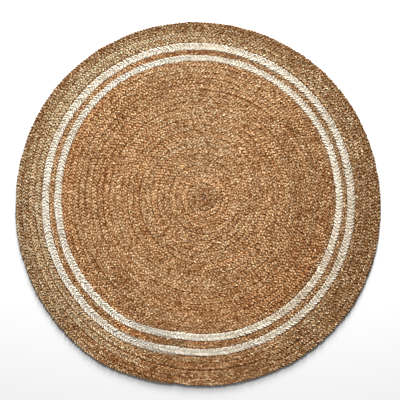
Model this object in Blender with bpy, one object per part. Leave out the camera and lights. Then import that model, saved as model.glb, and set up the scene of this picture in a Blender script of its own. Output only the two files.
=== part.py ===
"""Round braided jute rug, 1.2 m across.

One long three-strand plait is wound flat from the middle and sewn edge to edge: 23 turns
of natural jute, one ivory, one natural, one ivory and four natural.  Each length of one
colour is a solid of its own, ridged like the plait and flat underneath.  It narrows to
nothing where it ends, and the next length widens beside it.

Metres, +Z up.  The rug lies on Z = 0 with the origin under the middle of its outline.
"""

import math

import bmesh
import bpy
from mathutils import Matrix, Vector

# Sizes in metres, angles in degrees.
MILLIMETRE = 0.001
THICKNESS = 9.0 * MILLIMETRE  # over the crown of the plait
SEAM_HEIGHT = 6.2 * MILLIMETRE  # where two turns are sewn together
GAP = 0.3 * MILLIMETRE  # between two lengths of plait

STEPS_IN_A_TURN = 60  # facets round the rug
STRIPS_OVER_A_PLAIT = 3  # a slope, the crown and a slope
SPLICE_STEPS = 2  # facets on either side of a join, where one length narrows as the next widens

# The plait changes colour, and steps out by most of its width, at one angle.
JOIN_ANGLE = math.radians(250.0)
STEP_SHARE = 0.75  # of the width of a turn
STEP_TURNS = 0.10  # how much of a turn the step takes on either side of the join

# Where the seams lie.  The turn is counted along the plait, and the shift is how far the
# middle of that turn lies from the middle of the rug, because the coil is wound by hand.
SEAMS = (
    # turn, mean radius, shift right, shift up, in millimetres
    (0.0, 0.0, 16.0, 21.0),
    (23.5, 451.0, 0.0, 18.0),
    (24.5, 474.0, 1.0, 16.0),
    (25.5, 492.0, -1.0, 12.0),
    (26.5, 517.0, 2.0, 13.0),
    (30.5, 600.0, -1.0, -3.0),
)

# The outline isn't a true circle.  Its waves die away towards the middle.
OUTER_RADIUS = SEAMS[-1][1]
WAVES = (
    # bulges round the rug, height in millimetres, angle of one bulge
    (2, 1.2, 140.0),
    (3, 2.2, 106.0),
    (4, 2.5, 45.0),
)

NATURAL = ("natural_jute", (0.392, 0.212, 0.102, 1.0))
IVORY = ("ivory_jute", (0.665, 0.565, 0.445, 1.0))
JUTE_ROUGHNESS = 0.9

SHARP_ANGLE = math.radians(40.0)  # more than this isn't shaded smooth
WELD = 0.01 * MILLIMETRE  # points of two turns that are one point of their seam
HEART_REACH = 1.2  # the heart's edge lies within this many widths of the first turn
EDGE_SHARE = 0.01  # of the way across the plait, which counts as on its edge

LENGTHS_OF_PLAIT = (
    # name, first turn, last turn, jute
    ("field_coil", 0, 23, NATURAL),
    ("inner_ivory_turn", 23, 24, IVORY),
    ("middle_natural_turn", 24, 25, NATURAL),
    ("outer_ivory_turn", 25, 26, IVORY),
    ("border_coil", 26, 30, NATURAL),
)


def clear_scene():
    for old in list(bpy.data.objects):
        bpy.data.objects.remove(old)


def jute(name, colour):
    material = bpy.data.materials.get(name) or bpy.data.materials.new(name)
    material.use_nodes = True
    shader = material.node_tree.nodes["Principled BSDF"]
    shader.inputs["Base Color"].default_value = colour
    shader.inputs["Roughness"].default_value = JUTE_ROUGHNESS
    shader.inputs["Metallic"].default_value = 0.0
    return material


def stepped_out(turn):
    """The turn as it counts for the radius: most of the growth is near the join."""
    whole = math.floor(turn)
    part = turn - whole
    after_join = math.sin(min(part / STEP_TURNS, 1.0) * math.pi / 2)
    before_join = math.sin(min((1.0 - part) / STEP_TURNS, 1.0) * math.pi / 2)
    step = (after_join + 1.0 - before_join) / 2
    return whole + part * (1.0 - STEP_SHARE) + step * STEP_SHARE


def mean_seam(turn):
    """Mean radius and shift of the seam at this turn, in millimetres."""
    row = 1
    while row < len(SEAMS) - 1 and SEAMS[row][0] < turn:
        row += 1
    low, high = SEAMS[row - 1], SEAMS[row]
    share = (turn - low[0]) / (high[0] - low[0])
    return [a + (b - a) * share for a, b in zip(low[1:], high[1:])]


def seam_point(turn):
    """A point of the seam on the inner side of the plait, at this turn."""
    radius, right, up = mean_seam(stepped_out(turn))
    angle = JOIN_ANGLE + math.tau * turn
    for bulges, height, bulge_angle in WAVES:
        wave = math.cos(bulges * (angle - math.radians(bulge_angle)))
        radius += height * wave * radius / OUTER_RADIUS
    x = right + radius * math.cos(angle)
    y = up + radius * math.sin(angle)
    return Vector((x, y, 0.0)) * MILLIMETRE


def share_spliced(step, join_step):
    """How far through a splice this step of the plait is, from 0 before it to 1 after it."""
    through = (step - join_step + SPLICE_STEPS) / (2 * SPLICE_STEPS)
    return min(max(through, 0.0), 1.0)


def plait_point(step, across, first_step, last_step):
    """A point of the plait's upper face, from its inner edge, 0, to its outer edge, 1."""
    inner_edge = 1.0 - share_spliced(step, first_step) if first_step > 0 else 0.0
    outer_edge = 1.0 - share_spliced(step, last_step)
    turn = step / STEPS_IN_A_TURN
    share = inner_edge + (outer_edge - inner_edge) * across
    point = seam_point(turn).lerp(seam_point(turn + 1.0), share)
    on_edge = min(across, 1.0 - across) < EDGE_SHARE
    crown = 0.0 if on_edge else math.sqrt(outer_edge - inner_edge)
    point.z = SEAM_HEIGHT + (THICKNESS - SEAM_HEIGHT) * crown
    return point


def wind_plait(bm, first, last):
    """The ridged upper face of the turns from first to last, as one sheet."""
    first_step, last_step = first * STEPS_IN_A_TURN, last * STEPS_IN_A_TURN
    start = first_step - SPLICE_STEPS if first > 0 else 0
    steps = last_step + SPLICE_STEPS - start
    bmesh.ops.create_grid(bm, x_segments=steps, y_segments=STRIPS_OVER_A_PLAIT, size=0.5)
    for vert in bm.verts:
        step = start + round(steps * (vert.co.x + 0.5))
        vert.co = plait_point(step, vert.co.y + 0.5, first_step, last_step)
    bmesh.ops.remove_doubles(bm, verts=bm.verts, dist=WELD)


def fill_heart(bm):
    """Closes the small round space inside the first turn."""
    rim = [e for e in bm.edges if e.is_boundary and is_in_heart(e)]
    bmesh.ops.holes_fill(bm, edges=rim)


def is_in_heart(edge):
    middle = seam_point(0.0)
    reach = (seam_point(1.0) - middle).length * HEART_REACH
    return all((v.co.xy - middle.xy).length < reach for v in edge.verts)


def way_in(edge):
    """The level direction from a free edge into the plait."""
    start, end = (vert.co for vert in edge.verts)
    along = (end - start).normalized()
    way = edge.link_faces[0].calc_center_median() - start
    way -= along * way.dot(along)
    way.z = 0.0
    return way.normalized()


def trim_edges(bm):
    """Draws every free edge in by half the gap to the next length of plait."""
    moves = []
    for vert in (v for v in bm.verts if v.is_boundary):
        one, other = [way_in(edge) for edge in vert.link_edges if edge.is_boundary]
        mitre = (one + other) / (1.0 + one.dot(other))
        moves.append((vert, mitre * GAP / 2))
    for vert, move in moves:
        vert.co += move


def add_flat_underside(bm, is_ring):
    """Drops the free edges to the floor and closes the flat underside."""
    rim = [e for e in bm.edges if e.is_boundary]
    dropped = bmesh.ops.extrude_edge_only(bm, edges=rim)["geom"]
    for vert in (g for g in dropped if isinstance(g, bmesh.types.BMVert)):
        vert.co.z = 0.0
    foot = [e for e in bm.edges if e.is_boundary]
    if is_ring:  # with an inner and an outer rim
        bmesh.ops.triangle_fill(bm, edges=foot, use_beauty=True)
    else:
        bmesh.ops.holes_fill(bm, edges=foot)
    bmesh.ops.recalc_face_normals(bm, faces=bm.faces)


def make_length_of_plait(name, first, last, fibre):
    bm = bmesh.new()
    wind_plait(bm, first, last)
    has_heart = first == 0
    if has_heart:
        fill_heart(bm)
    trim_edges(bm)
    add_flat_underside(bm, is_ring=not has_heart)
    mesh = bpy.data.meshes.new(name)
    bm.to_mesh(mesh)
    bm.free()
    mesh.shade_smooth()
    mesh.set_sharp_from_angle(angle=SHARP_ANGLE)
    mesh.materials.append(jute(*fibre))
    length = bpy.data.objects.new(name, mesh)
    bpy.context.collection.objects.link(length)
    return length


def centre_on_origin(pieces):
    """Moves the rug so that the middle of its outline is over the origin."""
    points = [v.co for piece in pieces for v in piece.data.vertices]
    middle_x = (min(p.x for p in points) + max(p.x for p in points)) / 2
    middle_y = (min(p.y for p in points) + max(p.y for p in points)) / 2
    for piece in pieces:
        piece.data.transform(Matrix.Translation((-middle_x, -middle_y, 0.0)))


def make_rug():
    clear_scene()
    pieces = [make_length_of_plait(*row) for row in LENGTHS_OF_PLAIT]
    centre_on_origin(pieces)


make_rug()
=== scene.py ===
"""The round braided jute rug, as it looks.

Three strands of two yarns are plaited flat, the plait is wound from the middle and each turn
is sewn to the one before with jute thread.  Lengths in metres, +Z up, the rug lies on Z = 0.
"""

import math

import bmesh
import bpy
import numpy as np
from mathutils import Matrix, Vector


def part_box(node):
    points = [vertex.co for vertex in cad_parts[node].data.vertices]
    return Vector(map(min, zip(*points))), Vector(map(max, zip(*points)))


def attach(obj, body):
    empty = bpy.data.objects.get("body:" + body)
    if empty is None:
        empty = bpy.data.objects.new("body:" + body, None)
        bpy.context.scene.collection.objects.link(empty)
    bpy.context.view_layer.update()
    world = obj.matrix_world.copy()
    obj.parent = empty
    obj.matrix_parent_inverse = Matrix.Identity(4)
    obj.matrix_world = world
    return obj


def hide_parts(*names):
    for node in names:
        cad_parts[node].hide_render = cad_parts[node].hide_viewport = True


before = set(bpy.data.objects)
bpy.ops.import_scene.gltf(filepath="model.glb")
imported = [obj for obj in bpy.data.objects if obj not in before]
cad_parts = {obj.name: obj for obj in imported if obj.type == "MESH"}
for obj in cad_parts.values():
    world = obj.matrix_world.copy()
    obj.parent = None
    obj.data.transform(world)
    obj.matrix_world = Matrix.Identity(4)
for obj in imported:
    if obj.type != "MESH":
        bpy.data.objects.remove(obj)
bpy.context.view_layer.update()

MM = 0.001

# --- The coil: where the turns of plait lie, as in the solids -------------------------------

JOIN_ANGLE = math.radians(250.0)  # where the colour changes, and the seams step outwards
STEP_SHARE = 0.75  # of the width of a turn
STEP_TURNS = 0.10  # how much of a turn the step takes on either side of the join
SEAM_TURN = (0.0, 23.5, 24.5, 25.5, 26.5, 30.5)
SEAM_RADIUS_MM = (0.0, 451.0, 474.0, 492.0, 517.0, 600.0)
SEAM_RIGHT_MM = (16.0, 0.0, 1.0, -1.0, 2.0, -1.0)
SEAM_UP_MM = (21.0, 18.0, 16.0, 12.0, 13.0, -3.0)
WAVES = (
    # bulges round the rug, height in millimetres, angle of one bulge
    (2, 1.2, 140.0),
    (3, 2.2, 106.0),
    (4, 2.5, 45.0),
)
LAST_TURN = 30
FACETS = 60  # round the rug, in the solids
SPLICE_FACETS = 2  # on either side of a join, where one length narrows as the next widens
SPLICE_TURNS = SPLICE_FACETS / FACETS
SEAM_STEPS = 360  # points in a turn, along a seam
SEAM_RUN_TURN = np.linspace(0, LAST_TURN + 2, (LAST_TURN + 2) * SEAM_STEPS + 1)

# --- The plait ------------------------------------------------------------------------------

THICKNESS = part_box("border_coil")[1].z
END_THICKNESS = 0.88  # of that, where a plait narrows to nothing
PLAIT_WIDTH = 20 * MM
PRESSED = 1.5 * MM  # how far neighbouring turns are pressed into each other
REPEAT = 30 * MM  # of one strand, from edge to edge and back
RUN_STEPS = 720  # points in a turn, along a plait
LEAD_IN = 0.9  # turns of the curl that fills the heart
LEAD_STEPS = 200  # points along that curl

STRANDS = 3
STRAND_SHARE = 0.34  # half a strand, as a share of half the plait's width
EDGE_ROLL = math.radians(30.0)  # how far a strand stands up where it turns back at the edge
SHARP_TURN = 0.97  # 1 makes a strand turn back in a point

YARNS = 2  # side by side in a strand
YARN_SHARE = 0.58  # of the strand's width
YARN_HEIGHT = 4.2 * MM
YARN_SIDES = 4
RING_STEP = 3.6 * MM  # from one ring of a yarn's facets to the next
TWIST = 60 * MM  # of the fibres, once round the yarn
GRAIN_APART = 50.0  # metres of jute, anywhere along which a yarn's own grain starts
LUMPY = 0.18  # how much thicker a lump is
WELD = 0.001 * MM  # points of a yarn that are one point where its sides meet

# How light a point of a yarn is painted, as painted light and shade before any colour: 1 on top
# of a strand, less in the hollows, where shade falls.
NESTLED = 0.75  # painted shade: how light it stays where a yarn lies against the other of its strand
LUMP_HIGHLIGHT = 0.5  # painted highlight, added on a lump
HOLLOW_SHADE = 0.75  # painted shade, taken off deep between the strands
HOLLOW_FROM = 0.05  # of the way from the surface to the middle, where the painted shade begins
HOLLOW_SPAN = 0.45  # of that way, over which it deepens

# --- The thread -----------------------------------------------------------------------------

THREADS = (
    # name, first turn, last turn
    ("inner_thread", 1, 18),
    ("outer_thread", 18, 30),
)
THREAD_RADIUS = 2.3 * MM
THREAD_STEP = 5 * MM  # from one ring of its facets to the next
STITCH = 22 * MM
STITCH_SIDEWAYS = 1.5 * MM
STITCH_RISE = 0.9 * MM
THREAD_SHADE_TONE = -1.8  # painted shade: the thread is painted dark because it lies in the shade of the groove
IVORY_ENDS = (24, 26)  # turns, where the thread sinks between the ends of an ivory turn
SINKING = 0.05  # of a turn on either side, within which it does
SUNK = 2.2 * MM
SUNK_THINNER = 0.5  # of its height

# --- What a hand leaves uneven --------------------------------------------------------------

UNEVEN = {
    # what: for each of its drifts, how far it strays and within how many metres
    "seam": ((0.9 * MM, 130 * MM), (0.5 * MM, 45 * MM)),
    "seam gap": ((0.7 * MM, 25 * MM),),
    "plait repeat": ((4 * MM, 80 * MM), (0.7 * MM, 23 * MM)),
    "plait lightness": ((0.3, 420 * MM),),
    "plait redness": ((0.3, 700 * MM),),
    "strand repeat": ((1.6 * MM, 19 * MM),),
    "strand width": ((0.09, 70 * MM),),
    "strand reach": ((0.06, 12 * MM),),
    "strand rise": ((0.18, 11 * MM),),
    "strand sideways": ((0.5 * MM, 9 * MM),),
    "strand roll": ((0.35, 25 * MM),),
    "strand redness": ((0.15, 200 * MM),),
    "yarn thickness": ((0.12, 11 * MM), (0.06, 50 * MM)),
    "yarn lightness": ((0.9, 11 * MM), (0.3, 70 * MM)),
    "yarn redness": ((0.15, 200 * MM),),
    "thread lightness": ((0.4, 60 * MM),),
    "thread redness": ((0.3, 200 * MM),),
}
LUMP_EVERY = 8 * MM
LOOSE_GAP = 2.4 * MM  # how far a seam gapes where the stitches are loose
LOOSE_EVERY = 160 * MM
LOOSE_FROM = 0.3  # the drift from which they are
LEAST_PRESSED = 0.4 * MM  # what holds even there, unless the seam stands open
NUDGES = (
    # turn, how far out the seam is pushed there, in millimetres
    (22.9, 0.0),
    (23.03, -3.0),
    (23.1, 0.0),
    (23.18, -3.0),
    (23.3, -0.5),
    (23.45, -2.5),
    (23.65, -0.5),
    (23.8, -4.0),
    (24.0, -3.5),
    (24.1, 2.5),
    (24.3, 0.0),
    (24.45, -2.5),
    (24.7, 1.0),
    (24.9, -0.5),
    (25.0, -4.5),
    (25.05, 0.5),
    (25.3, -3.0),
    (25.6, -1.5),
    (25.8, -4.5),
    (25.95, -5.0),
    (26.03, 4.5),
    (26.2, 0.0),
    (26.4, -4.5),
    (26.6, 0.5),
    (26.9, 0.5),
    (27.0, 0.0),
    (30.0, 0.0),
    (30.05, 2.0),
    (30.14, 3.0),
    (30.25, 0.5),
    (30.65, -1.5),
    (30.8, 0.0),
    (30.94, -3.0),
    (31.05, -2.0),
)
GROOVE_END = 0.01  # of a turn, over which a groove opens or closes
GROOVES = (
    # first turn, last turn, how far the seam stands open there, in millimetres
    (2.0, 2.12, 0.9),
    (2.86, 2.99, 0.9),
    (5.93, 6.1, 0.5),
    (18.44, 18.56, 0.2),
    (27.95, 28.12, 0.2),
)
SEWING_SEED = 4
THREAD_SEED = 11

# Stretches of plait are lighter or redder than others: in part the jute's own tone, which differs
# from batch to batch, and in part painted light, as marked below.
BATCHES_AND_PAINTED_LIGHT = (
    # first row, row after the last, angle of the middle and half the spread in degrees,
    # lighter, redder
    (0, 2, 0, 1000, -0.35, -0.2),
    (0, 15, 310, 60, -0.35, -0.1),
    (15, 23, 10, 75, -0.25, -0.45),
    (24, 25, 10, 110, -0.25, -0.6),
    (24, 25, 150, 40, 0.2, -0.4),
    (16, 23, 0, 1000, -0.3, 0.0),
    (25, 26, 0, 1000, -0.5, 0.0),
    (26, 31, 0, 1000, -0.6, -1.2),
    (26, 31, 350, 60, -0.4, 0.0),
    (27, 30, 285, 45, -0.4, 0.0),
    (28, 29, 245, 25, -0.8, 0.0),
    (27, 28, 285, 35, -0.3, 0.0),
    (29, 31, 0, 35, -0.3, 0.0),
    (28, 31, 90, 40, -0.3, 0.0),
    (26, 31, 45, 75, -0.35, -0.6),
    (26, 28, 105, 60, 0.85, -0.5),
    (26, 28, 205, 60, 1.5, 0.0),
    (28, 31, 65, 80, -0.35, -0.2),
    (28, 31, 180, 35, 0.3, 0.0),
    (28, 31, 340, 70, -0.35, 0.0),
    (26, 31, 330, 75, -0.5, 0.0),
    (26, 31, 270, 55, -0.1, 0.8),
    (26, 28, 150, 50, 1.6, 0.0),
    (29, 31, 132, 65, -0.8, 0.2),
    (27, 28, 120, 35, 1.1, 0.0),
    (29, 31, 50, 70, -0.6, 0.0),
    (28, 31, 240, 30, -0.1, 0.6),
    (26, 28, 240, 25, 0.8, 0.0),
    (24, 25, 0, 1000, -0.35, -0.1),
    (24, 25, 90, 45, -0.8, 0.0),
    (24, 25, 165, 60, 1.1, 0.0),
    (24, 25, 45, 70, -0.2, -0.5),
    (24, 25, 305, 55, -0.7, -0.1),
    (24, 25, 243, 10, 0.1, 1.5),
    (24, 25, 262, 7, -0.5, -1.2),
    # painted light: the field paler on the left, as the light falls
    (0, 23, 165, 100, 0.45, 0.15),
    # painted shade: the field darker on the lower right, as the light falls
    (12, 23, 340, 90, -0.45, 0.0),
    (3, 23, 90, 60, 0.0, -0.45),
    (23, 24, 70, 90, -1.4, -0.5),
    (23, 24, 315, 50, -2.7, 0.2),
    (23, 24, 120, 30, 1.8, -0.3),
    (23, 24, 240, 90, 1.4, 0.2),
    (25, 26, 35, 90, -1.4, -0.4),
    (25, 26, 325, 65, -1.9, 0.2),
    (25, 26, 200, 80, 1.5, 0.2),
    # painted light: the outer ivory lightened at the join, against the shade cast by its taller
    # neighbours
    (25, 26, 250, 20, 2.4, 0.0),
    # painted light: the inner ivory lightened at the join, against the shade cast by its taller
    # neighbours
    (23, 24, 252, 18, 1.6, 0.0),
)
MARKS = (
    # right, up, half length, half width in millimetres, tilt in degrees, lighter, straw
    (-52.9, 122.2, 14.0, 7.0, 32.0, 0.8, 1.0),  # a slub of straw
    (104.4, 500.7, 6.0, 3.0, -35.0, -4.0, 0.0),  # painted shade: a slit between two strands, painted dark
)
MARK_EDGE = 1.5  # times its half size, where a mark has faded to nothing
SLUB_SWELL = 0.4  # how much thicker a yarn is in a slub of straw


def drift(length, every, rng):
    """A smooth random value from -1 to 1, that turns about once in every so many metres."""
    start = length.min() - every
    place = (length - start) / every
    height = rng.uniform(-1, 1, int(place.max()) + 2)
    cell = place.astype(int)
    share = eased(place - cell)
    return height[cell] * (1 - share) + height[cell + 1] * share


def eased(share):
    """A share from 0 to 1 that starts and ends gently."""
    return share * share * (3 - 2 * share)


def uneven(what, value, length, rng):
    """The value as it drifts along the length."""
    for stray, every in UNEVEN[what]:
        value = value + stray * drift(length, every, rng)
    return value


def lengths_between(points):
    """How far along a line each of its points lies."""
    steps = np.linalg.norm(np.diff(points, axis=0), axis=1)
    return np.concatenate([[0], np.cumsum(steps)])


# --- Where the seams lie --------------------------------------------------------------------


def stepped_out(turn):
    """The turn as it counts for the radius: most of the growth is near the join."""
    whole = np.floor(turn)
    part = turn - whole
    after_join = np.sin(np.minimum(part / STEP_TURNS, 1) * math.pi / 2)
    before_join = np.sin(np.minimum((1 - part) / STEP_TURNS, 1) * math.pi / 2)
    step = (after_join + 1 - before_join) / 2
    return whole + part * (1 - STEP_SHARE) + step * STEP_SHARE


def drawn_on(turn, values):
    """The value at each turn, on straight lines through the seams' own, also past the last."""
    slope = (values[-1] - values[-2]) / (SEAM_TURN[-1] - SEAM_TURN[-2])
    past = np.maximum(turn - SEAM_TURN[-1], 0) * slope
    return np.interp(turn, SEAM_TURN, values) + past


def seam(turn):
    """Points of the seam on the inner side of the plait, before the rug is centred."""
    wound = stepped_out(turn)
    radius = drawn_on(wound, SEAM_RADIUS_MM)
    angle = JOIN_ANGLE + math.tau * turn
    for bulges, height, bulge_angle in WAVES:
        wave = np.cos(bulges * (angle - math.radians(bulge_angle)))
        radius = radius * (1 + height * wave / SEAM_RADIUS_MM[-1])
    x = drawn_on(wound, SEAM_RIGHT_MM) + radius * np.cos(angle)
    y = drawn_on(wound, SEAM_UP_MM) + radius * np.sin(angle)
    return np.stack([x, y], axis=1) * MM


def share_spliced(turn, join):
    """How far through a splice each turn is, from 0 before it to 1 after it."""
    return np.clip((turn - join + SPLICE_TURNS) / (2 * SPLICE_TURNS), 0, 1)


def find_centre():
    """The middle of the outline, which the solids put over the origin."""
    last_facet = LAST_TURN * FACETS
    turn = np.arange(last_facet - FACETS, last_facet + SPLICE_FACETS + 1) / FACETS
    share = 1 - share_spliced(turn, LAST_TURN)
    rim = seam(turn) + (seam(turn + 1) - seam(turn)) * share[:, None]
    return (rim.min(axis=0) + rim.max(axis=0)) / 2


def sew():
    """How far out the seam wanders, and how far it stands open, at each point of its run."""
    rng = np.random.default_rng(SEWING_SEED)
    run = lengths_between(seam(SEAM_RUN_TURN))
    nudge_turn, nudge = zip(*NUDGES)
    wander = uneven("seam", 0, run, rng)
    wander += MM * np.interp(SEAM_RUN_TURN, nudge_turn, nudge)
    gap = uneven("seam gap", 0, run, rng)
    gap += LOOSE_GAP * np.maximum(drift(run, LOOSE_EVERY, rng) - LOOSE_FROM, 0)
    gap = np.minimum(gap - PRESSED, -LEAST_PRESSED)
    for first, last, open_by in GROOVES:
        inside = np.clip((SEAM_RUN_TURN - first) / GROOVE_END, 0, 1)
        inside *= np.clip((last - SEAM_RUN_TURN) / GROOVE_END, 0, 1)
        gap += inside * (open_by * MM - gap)
    return wander, gap


CENTRE = find_centre()
SEAM_WANDER, SEAM_GAP = sew()


def at_seam(turn, values):
    """One of the seam's values, at each of these turns."""
    return np.interp(turn, SEAM_RUN_TURN, values)


# --- Laying the plait -----------------------------------------------------------------------


def batch_and_painted_light(turn, row):
    """How much lighter and how much redder its batch of jute, and the painted light, make the
    plait at each turn.
    """
    angle = math.degrees(JOIN_ANGLE) + 360 * turn
    lighter, redder = np.zeros(len(turn)), np.zeros(len(turn))
    for first, last, middle, spread, by_light, by_red in BATCHES_AND_PAINTED_LIGHT:
        away = np.abs((angle - middle + 180) % 360 - 180) / spread
        here = eased(np.clip(1 - away, 0, 1) * (row >= first) * (row < last))
        lighter += by_light * here
        redder += by_red * here
    return lighter, redder


def marks(line):
    """How much lighter and how strawy the marks make a yarn, the slit's painted shade among them.
    """
    lighter, straw = np.zeros(len(line)), np.zeros(len(line))
    for right, up, long, wide, tilt, by_light, by_straw in MARKS:
        tilt = math.radians(tilt)
        x, y = line[:, 0] - right * MM, line[:, 1] - up * MM
        far = (x * math.cos(tilt) + y * math.sin(tilt)) / (long * MM)
        off = (y * math.cos(tilt) - x * math.sin(tilt)) / (wide * MM)
        here = np.clip(MARK_EDGE - np.hypot(far, off), 0, 1)
        lighter += by_light * here
        straw += by_straw * here
    return lighter, straw


def run_plait(first, last):
    """The run of one length of plait: its middle line, the way across it and half its width."""
    start = first - SPLICE_TURNS if first else 0
    end = last + SPLICE_TURNS
    turn = np.linspace(start, end, int((end - start) * RUN_STEPS) + 1)
    inner, outer = seam(turn), seam(turn + 1)
    width = np.linalg.norm(outer - inner, axis=1)
    across = (outer - inner) / width[:, None]
    inner_share = 1 - share_spliced(turn, first) if first else np.zeros(len(turn))
    outer_share = 1 - share_spliced(turn, last)
    wander, next_wander = at_seam(turn, SEAM_WANDER), at_seam(turn + 1, SEAM_WANDER)
    near = inner_share * width + wander * (1 - inner_share) + next_wander * inner_share
    far = outer_share * width + wander * (1 - outer_share) + next_wander * outer_share
    near += at_seam(turn, SEAM_GAP)
    far -= at_seam(turn + 1, SEAM_GAP)
    middle = inner + across * ((near + far) / 2)[:, None] - CENTRE
    half = (far - near) / 2
    if not first:
        turn, middle, across, half = curl_heart(turn, middle, across, half)
    share = np.clip(half / (PLAIT_WIDTH / 2 + PRESSED), 0, 1)
    return {
        "turn": turn,
        "row": np.clip(turn, first, last - SPLICE_TURNS),
        "length": lengths_between(middle),
        "middle": middle,
        "across": across,
        "half": half,
        "full": END_THICKNESS + (1 - END_THICKNESS) * np.sqrt(share),
    }


def curl_heart(turn, middle, across, half):
    """Puts the short curl that the plait starts with before its first turn."""
    lead = np.linspace(-LEAD_IN, 0, LEAD_STEPS)[:-1]
    share = stepped_out(1 + lead)
    heart = seam(np.zeros(1))[0] - CENTRE
    reach = np.linalg.norm(middle[0] - heart) * share
    angle = JOIN_ANGLE + math.tau * lead
    way = np.stack([np.cos(angle), np.sin(angle)], axis=1)
    return (
        np.concatenate([lead, turn]),
        np.concatenate([heart + way * reach[:, None], middle]),
        np.concatenate([way, across]),
        np.concatenate([half[0] * share, half]),
    )


def along(run, length, key):
    """One of the run's values, at each of these lengths."""
    values = run[key]
    if values.ndim == 1:
        return np.interp(length, run["length"], values)
    return np.stack([np.interp(length, run["length"], v) for v in values.T], axis=1)


def lay_plait(run, rng):
    """The yarns of a length of plait: their lines, sizes, and what varies along them."""
    total = run["length"][-1]
    length = np.linspace(0, total, int(total / RING_STEP))
    plait = {key: along(run, length, key) for key in ("turn", "middle", "across", "half", "full")}
    plait["length"] = length
    plait["level"] = THICKNESS / 2 * plait["full"]
    plaited = length + uneven("plait repeat", 0, length, rng)
    lighter, redder = batch_and_painted_light(plait["turn"], along(run, length, "row"))
    lighter = uneven("plait lightness", lighter, length, rng)
    redder = uneven("plait redness", redder, length, rng)
    yarns = []
    for strand in range(STRANDS):
        line, way, strand_half = lay_strand(plait, plaited, strand / STRANDS, rng)
        warmth = uneven("strand redness", redder, length, rng)
        for yarn in range(YARNS):
            shift = strand_half * (yarn - (YARNS - 1) / 2) * 2 / YARNS
            own_line = line + way * shift[:, None]
            yarns.append(lay_yarn(plait, own_line, shift, strand_half, lighter, warmth, rng))
    return yarns


def lay_strand(plait, plaited, share, rng):
    """A strand's line, the way from one of its yarns to the other, and half its width."""
    length, half = plait["length"], plait["half"]
    phase = math.tau * (uneven("strand repeat", plaited, length, rng) / REPEAT + share)
    strand_half = STRAND_SHARE * half * uneven("strand width", 1, length, rng)
    reach = (half - STRAND_SHARE * half) * uneven("strand reach", 1, length, rng)
    rise = (THICKNESS - YARN_HEIGHT) / 2 * plait["full"] * np.sin(2 * phase)
    height = plait["level"] + rise * uneven("strand rise", 1, length, rng)
    zigzag = np.arcsin(SHARP_TURN * np.sin(phase)) / math.asin(SHARP_TURN)
    sideways = uneven("strand sideways", reach * zigzag, length, rng)
    line = np.column_stack([plait["middle"] + plait["across"] * sideways[:, None], height])
    side, up = strand_frame(line)
    roll = EDGE_ROLL * np.sin(phase) * np.abs(np.sin(phase)) ** 3
    roll = uneven("strand roll", roll, length, rng)
    way = side * np.cos(roll)[:, None] + up * np.sin(roll)[:, None]
    return line, way, strand_half


def lay_yarn(plait, line, shift, strand_half, lighter, redder, rng):
    """A yarn of a strand, shifted sideways from the strand's own line."""
    length = plait["length"]
    thick = uneven("yarn thickness", 1, length, rng)
    tone = uneven("yarn lightness", 0, length, rng)
    marked, straw = marks(line)
    thick *= 1 + SLUB_SWELL * straw
    return {
        **plait,
        "line": line,
        "shift": shift,
        "strand_half": strand_half,
        "half_width": strand_half * YARN_SHARE * thick,
        "half_height": YARN_HEIGHT / 2 * plait["full"] * thick,
        "tone": tone + lighter + marked,
        "warmth": uneven("yarn redness", redder, length, rng),
        "straw": straw,
        "grain": lengths_between(line) + rng.uniform(0, GRAIN_APART),
        "lumps": np.stack([drift(length, LUMP_EVERY, rng) for _ in range(YARN_SIDES)], axis=1),
    }


def strand_frame(line):
    """The level way sideways and the way up at each point of a strand."""
    ahead = np.gradient(line, axis=0)
    ahead /= np.linalg.norm(ahead, axis=1)[:, None]
    side = np.column_stack([ahead[:, 1], -ahead[:, 0], np.zeros(len(ahead))])
    side /= np.linalg.norm(side, axis=1)[:, None]
    return side, np.cross(side, ahead)


def cut(laid, first, last):
    """The part of a yarn between two turns."""
    start = np.searchsorted(laid["turn"], first)
    end = np.searchsorted(laid["turn"], last) + 1
    return {key: values[start:end] for key, values in laid.items()}


# --- Rolling the yarns ----------------------------------------------------------------------


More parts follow.
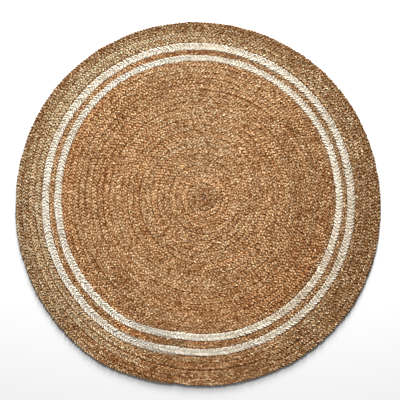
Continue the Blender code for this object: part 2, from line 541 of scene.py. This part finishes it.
def roll_yarn(bm, laid, first_ring):
    """A yarn as a grid of facets, rolled round its line."""
    rings = len(laid["line"])
    grid = bmesh.ops.create_grid(bm, x_segments=rings - 1, y_segments=YARN_SIDES, size=0.5)
    grid = grid["verts"]
    flat = np.array([v.co.xy for v in grid])
    ring = np.rint((flat[:, 0] + 0.5) * (rings - 1)).astype(int)
    column = np.rint((flat[:, 1] + 0.5) * YARN_SIDES).astype(int) % YARN_SIDES
    here = {key: values[ring] for key, values in laid.items()}
    round_it = math.tau * column / YARN_SIDES
    lump = here["lumps"][np.arange(len(grid)), column]
    width = here["half_width"] * (1 + LUMPY * lump) * np.cos(round_it)
    height = here["half_height"] * (1 + LUMPY * lump) * np.sin(round_it)
    side, up = strand_frame(laid["line"])
    place = here["line"] + side[ring] * width[:, None] + up[ring] * height[:, None]
    place[:, 2] = np.maximum(place[:, 2], 0)

    # Painted light and shade, multiplied into the colour: darker towards the sides of a strand,
    # where a yarn lies against the other, and deep in the hollows, as shade falls there; lighter
    # on a lump, as a painted highlight.
    spread = np.abs(here["shift"] + width) / here["strand_half"]
    depth = 1 - np.abs(place[:, 2] / here["level"] - 1)
    painted_light = 1 - np.clip(spread, 0, 1) ** 2
    painted_light *= NESTLED + (1 - NESTLED) * np.abs(np.sin(round_it))
    painted_light *= 1 + LUMP_HIGHLIGHT * lump
    painted_light *= 1 - HOLLOW_SHADE * np.clip((depth - HOLLOW_FROM) / HOLLOW_SPAN, 0, 1)

    twist = math.tau * here["grain"] / TWIST
    inside = np.stack([
        here["grain"],
        width * np.cos(twist) - height * np.sin(twist),
        width * np.sin(twist) + height * np.cos(twist),
    ], axis=1)
    sideways = np.sum((place[:, :2] - here["middle"]) * here["across"], axis=1)
    combed = np.stack([here["length"], sideways, place[:, 2]], axis=1)

    ring_layer = bm.verts.layers.int["ring"]
    grain_layer = bm.verts.layers.float_vector["grain"]
    painted_light_layer = bm.verts.layers.float["painted_light"]
    row_layer = bm.verts.layers.float_vector["row"]
    for vert, spot, number, fibre, light, lie in zip(grid, place, ring, inside, painted_light, combed):
        vert.co = spot
        vert[ring_layer] = int(first_ring + number)
        vert[grain_layer] = fibre
        vert[painted_light_layer] = light
        vert[row_layer] = lie


def make_yarns(name, yarns, material):
    """One piece of several yarns, with what varies along them as attributes."""
    bm = bmesh.new()
    bm.verts.layers.int.new("ring")
    bm.verts.layers.float_vector.new("grain")
    # the painted light and shade of each point
    bm.verts.layers.float.new("painted_light")
    bm.verts.layers.float_vector.new("row")
    first_ring = 0
    for laid in yarns:
        roll_yarn(bm, laid, first_ring)
        first_ring += len(laid["line"])
    bmesh.ops.remove_doubles(bm, verts=bm.verts, dist=WELD)
    bmesh.ops.holes_fill(bm, edges=[e for e in bm.edges if e.is_boundary])
    bmesh.ops.recalc_face_normals(bm, faces=bm.faces)
    mesh = bpy.data.meshes.new(name)
    bm.to_mesh(mesh)
    bm.free()
    ring = np.empty(len(mesh.vertices), dtype=np.int32)
    mesh.attributes["ring"].data.foreach_get("value", ring)
    mesh.attributes.remove(mesh.attributes["ring"])
    for key in ("tone", "warmth", "straw"):
        values = np.concatenate([laid[key] for laid in yarns])[ring]
        mesh.attributes.new(key, "FLOAT", "POINT").data.foreach_set("value", values)
    mesh.shade_smooth()
    mesh.materials.append(material)
    piece = bpy.data.objects.new(name, mesh)
    bpy.context.collection.objects.link(piece)
    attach(piece, "root")
    return piece


# --- Materials ------------------------------------------------------------------------------

# Noise on the jute: features in a metre, along the fibre or the row and then across it.
BUNDLES = (100, 400, 400)
FIBRES = (140, 1700, 1700)
STREAKS = (95, 550, 300)
LONG_STREAKS = (28, 420, 150)
PATCHES = (14, 14, 14)

# How much each of them shifts the tone, where the ramp from dark to light is 1 long.
LONG_STREAKS_SHARE = 0.4  # of what the streaks do
FIBRES_TONE = 0.8
PATCHES_TONE = 1.0
MIDDLE_TONE = 0.5
MIDDLE_NOISE = 0.5

EVEN_TINT = 0.6  # of the way from cool to warm, for jute of no batch
TINT_REACH = 0.5  # further on that way, for jute that is redder by 1
STRAW = (0.88, 0.60, 0.27)
WHITE = (1, 1, 1)
FIBRES_RELIEF = 0.35  # of the streaks'
JUTE_ROUGHNESS = 0.75


def new_material(name):
    material = bpy.data.materials.new(name)
    material.use_nodes = True
    tree = material.node_tree
    return material, tree, tree.nodes["Principled BSDF"]


def attribute(tree, name, output="Fac"):
    node = tree.nodes.new("ShaderNodeAttribute")
    node.attribute_name = name
    return node.outputs[output]


def calculate(tree, operation, *values):
    node = tree.nodes.new("ShaderNodeMath")
    node.operation = operation
    for socket, value in zip(node.inputs, values):
        if isinstance(value, (int, float)):
            socket.default_value = value
        else:
            tree.links.new(value, socket)
    return node.outputs[0]


def noise(tree, vector, scale, detail=1.0, rough=0.5):
    """Noise with a scale of its own along each of the vector's directions."""
    stretch = tree.nodes.new("ShaderNodeMapping")
    stretch.inputs["Scale"].default_value = scale
    tree.links.new(vector, stretch.inputs["Vector"])
    node = tree.nodes.new("ShaderNodeTexNoise")
    node.inputs["Scale"].default_value = 1.0
    node.inputs["Detail"].default_value = detail
    node.inputs["Roughness"].default_value = rough
    tree.links.new(stretch.outputs["Vector"], node.inputs["Vector"])
    return node.outputs["Fac"]


def ramp(tree, value, stops):
    node = tree.nodes.new("ShaderNodeValToRGB")
    elements = node.color_ramp.elements
    elements[0].position, elements[0].color = stops[0][0], (*stops[0][1], 1)
    elements[1].position, elements[1].color = stops[-1][0], (*stops[-1][1], 1)
    for position, colour in stops[1:-1]:
        elements.new(position).color = (*colour, 1)
    tree.links.new(value, node.inputs["Fac"])
    return node.outputs["Color"]


def mix(tree, share, one, other, blend="MIX"):
    node = tree.nodes.new("ShaderNodeMix")
    node.data_type = "RGBA"
    node.blend_type = blend
    colours = [socket for socket in node.inputs if socket.type == "RGBA"]
    for socket, value in zip([node.inputs[0], *colours], (share, one, other)):
        if isinstance(value, tuple):
            socket.default_value = (*value, 1)
        elif isinstance(value, (int, float)):
            socket.default_value = value
        else:
            tree.links.new(value, socket)
    return next(socket for socket in node.outputs if socket.type == "RGBA")


def add_relief(tree, shader, height, distance):
    bump = tree.nodes.new("ShaderNodeBump")
    bump.inputs["Strength"].default_value = 1.0
    bump.inputs["Distance"].default_value = distance
    tree.links.new(height, bump.inputs["Height"])
    tree.links.new(bump.outputs["Normal"], shader.inputs["Normal"])


def jute(name, yarn_tones, bundles_tone, streaks_tone, relief, stops, painted_shade_colour, warm, cool):
    """Jute: streaked along the row, a tone of its own for each yarn, with painted shade in the
    hollows.
    """
    material, tree, shader = new_material(name)
    grain = attribute(tree, "grain", "Vector")
    row = attribute(tree, "row", "Vector")
    place = tree.nodes.new("ShaderNodeTexCoord").outputs["Object"]
    fibres = noise(tree, grain, FIBRES)
    streaks = noise(tree, row, STREAKS)
    tone = calculate(tree, "MULTIPLY_ADD", attribute(tree, "tone"), yarn_tones, MIDDLE_TONE)
    for value, strength in (
        (noise(tree, grain, BUNDLES), bundles_tone),
        (streaks, streaks_tone),
        (noise(tree, row, LONG_STREAKS), streaks_tone * LONG_STREAKS_SHARE),
        (fibres, FIBRES_TONE),
        (noise(tree, place, PATCHES, detail=2.0, rough=0.6), PATCHES_TONE),
    ):
        centred = calculate(tree, "SUBTRACT", value, MIDDLE_NOISE)
        tone = calculate(tree, "MULTIPLY_ADD", centred, strength, tone)
    colour = ramp(tree, tone, stops)
    tint = calculate(tree, "MULTIPLY_ADD", attribute(tree, "warmth"), TINT_REACH, EVEN_TINT)
    colour = mix(tree, 1.0, colour, mix(tree, tint, cool, warm), "MULTIPLY")
    colour = mix(tree, attribute(tree, "straw"), colour, STRAW)
    # Painted shade: the colour darkens towards the shade colour in the hollows and lightens on
    # lumps.
    shade = mix(tree, attribute(tree, "painted_light"), painted_shade_colour, WHITE)
    colour = mix(tree, 1.0, colour, shade, "MULTIPLY")
    tree.links.new(colour, shader.inputs["Base Color"])
    shader.inputs["Roughness"].default_value = JUTE_ROUGHNESS
    shader.inputs["Specular IOR Level"].default_value = 0.0
    raised = calculate(tree, "MULTIPLY_ADD", fibres, FIBRES_RELIEF, streaks)
    add_relief(tree, shader, raised, relief)
    return material


natural_jute = jute(
    "natural_jute",
    yarn_tones=0.34,
    bundles_tone=1.2,
    streaks_tone=6.0,
    relief=3.8 * MM,
    stops=(
        (0.0, (0.32, 0.145, 0.054)),
        (0.3, (0.67, 0.372, 0.172)),
        (0.55, (0.94, 0.590, 0.310)),
        (0.8, (1.00, 0.705, 0.405)),
        (1.0, (1.00, 0.810, 0.535)),
    ),
    # the colour of the painted shade in the hollows
    painted_shade_colour=(0.30, 0.16, 0.065),
    warm=(1.06, 0.93, 0.78),
    cool=(0.80, 0.95, 1.06),
)
ivory_jute = jute(
    "ivory_jute",
    yarn_tones=0.2,
    bundles_tone=1.2,
    streaks_tone=1.6,
    relief=1.8 * MM,
    stops=(
        (0.0, (0.55, 0.485, 0.40)),
        (0.35, (0.71, 0.655, 0.57)),
        (0.6, (0.785, 0.745, 0.675)),
        (1.0, (0.85, 0.82, 0.76)),
    ),
    # the colour of the painted shade in the hollows
    painted_shade_colour=(0.48, 0.43, 0.36),
    warm=(1.02, 0.98, 0.92),
    cool=(0.95, 0.99, 1.02),
)

# --- The pieces -----------------------------------------------------------------------------

LENGTHS = (
    # CAD node, first turn, last turn, material, slot, its pieces with the turn that each ends at
    ("field_coil", 0, 23, natural_jute, "natural_jute",
     (("heart_plait", 13), ("middle_field_plait", 19), ("outer_field_plait", 24))),
    ("inner_ivory_turn", 23, 24, ivory_jute, "ivory_jute", (("inner_ivory_plait", 25),)),
    ("middle_natural_turn", 24, 25, natural_jute, "natural_jute", (("middle_plait", 26),)),
    ("outer_ivory_turn", 25, 26, ivory_jute, "ivory_jute", (("outer_ivory_plait", 27),)),
    ("border_coil", 26, 30, natural_jute, "natural_jute",
     (("inner_border_plait", 28), ("outer_border_plait", 31))),
)


def make_plaits():
    for seed, (node, first, last, material, slot, pieces) in enumerate(LENGTHS):
        yarns = lay_plait(run_plait(first, last), np.random.default_rng(seed))
        start = -1  # the curl of the heart comes before turn 0
        for name, end in pieces:
            cuts = [cut(laid, start, end) for laid in yarns]
            piece = make_yarns(name, cuts, material)
            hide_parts(node)
            start = end


def make_thread():
    """The thread that sews each turn to the one before, in the groove between them."""
    rng = np.random.default_rng(THREAD_SEED)
    for name, first, last in THREADS:
        run_turn = np.linspace(first, last + SPLICE_TURNS, (last - first) * SEAM_STEPS)
        run = seam(run_turn) - CENTRE
        run_length = lengths_between(run)
        way = seam(run_turn + 1) - seam(run_turn)
        way /= np.linalg.norm(way, axis=1)[:, None]

        length = np.linspace(0, run_length[-1], int(run_length[-1] / THREAD_STEP))
        turn = np.interp(length, run_length, run_turn)
        middle = np.stack([np.interp(length, run_length, v) for v in run.T], axis=1)
        across = np.stack([np.interp(length, run_length, v) for v in way.T], axis=1)
        stitch = math.tau * length / STITCH
        zigzag = STITCH_SIDEWAYS * np.sin(stitch) + at_seam(turn, SEAM_WANDER)
        hidden = sum(np.exp(-(((turn - end) / SINKING) ** 2)) for end in IVORY_ENDS)
        height = THICKNESS / 2 + STITCH_RISE * np.cos(stitch) - SUNK * hidden
        even = np.ones(len(length))
        thread = {
            "line": np.column_stack([middle + across * zigzag[:, None], height]),
            "half_width": THREAD_RADIUS * even,
            "half_height": THREAD_RADIUS * (1 - SUNK_THINNER * hidden),
            # painted shade: the thread is painted dark, as the shade of the groove
            "tone": uneven("thread lightness", THREAD_SHADE_TONE, length, rng),
            "warmth": uneven("thread redness", 0, length, rng),
            "straw": np.zeros(len(length)),
            "grain": length,
            "lumps": np.zeros((len(length), YARN_SIDES)),
            "shift": np.zeros(len(length)),
            "strand_half": THREAD_RADIUS * even,
            "length": length,
            "middle": middle,
            "across": across,
            "level": THICKNESS / 2 * even,
        }
        piece = make_yarns(name, [thread], natural_jute)


make_plaits()
make_thread()

# --- The floor, the light and the camera ----------------------------------------------------

PIXEL = 3.277 * MM  # on the rug
PICTURE = 400  # pixels across
LENS = 85.0
SENSOR = 36.0
LOOK_RIGHT = 1.95 * PIXEL
LOOK_UP = 3.7 * PIXEL
HALF_FLOOR = 15.0
FLOOR_GREY = (0.555, 0.555, 0.555)
FLOOR_ROUGHNESS = 0.9
LAMP_FAR = 5.0
LAMPS = (
    # name, metres across, degrees up, degrees round from the right, watts
    ("low_window", 1.5, 18.0, 86.0, 680.0),
    ("high_window", 1.6, 38.0, 92.0, 400.0),
)
ROOM_LIGHT = 0.28


def make_floor():
    bm = bmesh.new()
    bmesh.ops.create_grid(bm, x_segments=1, y_segments=1, size=HALF_FLOOR)
    mesh = bpy.data.meshes.new("floor")
    bm.to_mesh(mesh)
    bm.free()
    floor = bpy.data.objects.new("floor", mesh)
    bpy.context.collection.objects.link(floor)
    material, _, shader = new_material("pale_floor")
    shader.inputs["Base Color"].default_value = (*FLOOR_GREY, 1)
    shader.inputs["Roughness"].default_value = FLOOR_ROUGHNESS
    mesh.materials.append(material)


def hang_lamp(name, size, elevation, azimuth, power):
    """A soft round lamp, which faces the middle of the rug."""
    lamp = bpy.data.lights.new(name, "AREA")
    lamp.shape = "DISK"
    lamp.size = size
    lamp.energy = power
    window = bpy.data.objects.new(name, lamp)
    up, round_it = math.radians(elevation), math.radians(azimuth)
    level = math.cos(up) * LAMP_FAR
    window.location = (
        level * math.cos(round_it),
        level * math.sin(round_it),
        math.sin(up) * LAMP_FAR,
    )
    window.rotation_euler = (math.pi / 2 - up, 0, round_it + math.pi / 2)
    bpy.context.collection.objects.link(window)


def make_light():
    for row in LAMPS:
        hang_lamp(*row)
    room = bpy.data.worlds.new("room")
    room.use_nodes = True
    light = room.node_tree.nodes["Background"]
    light.inputs["Color"].default_value = (*WHITE, 1)
    light.inputs["Strength"].default_value = ROOM_LIGHT
    bpy.context.scene.world = room
    bpy.context.scene.view_settings.view_transform = "Standard"


def make_camera():
    """Looks straight down, from as far up as the picture's pixels on the rug ask for."""
    eye = bpy.data.cameras.new("camera")
    eye.lens = LENS
    eye.sensor_width = SENSOR
    camera = bpy.data.objects.new("camera", eye)
    camera.location = (LOOK_RIGHT, LOOK_UP, PICTURE * PIXEL * LENS / SENSOR)
    bpy.context.collection.objects.link(camera)
    bpy.context.scene.camera = camera


make_floor()
make_light()
make_camera()
